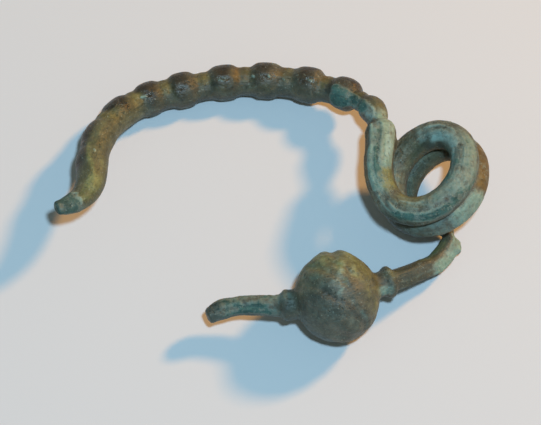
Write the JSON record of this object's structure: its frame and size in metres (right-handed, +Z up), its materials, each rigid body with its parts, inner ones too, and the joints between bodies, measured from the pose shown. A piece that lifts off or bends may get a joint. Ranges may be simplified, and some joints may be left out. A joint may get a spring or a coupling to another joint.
{
  "type": "fibula brooch",
  "caption": "Broken bronze bow brooch: curved bow of turned beads, oval spring coil, four-sided arm, and a ribbed globe on a thin stem, all one piece lying on its side.",
  "frame": {"origin": "on the surface that the brooch lies on, under the middle of its bounding box", "axes": "+Z up from that surface; +X along its greatest width, from the broken foot of the bow towards the coil; +Y towards the crown of the bow"},
  "size_m": [0.0646, 0.047, 0.0153],
  "materials": {
    "patinated_bronze": "aged bronze: dark olive-brown patina with ochre in the waists, blue-green crust on the coil, the breaks and some beads, pale grey-green on hammered faces"
  },
  "bodies": {
    "root": {"brooch": "patinated_bronze"}
  },
  "joints": []
}
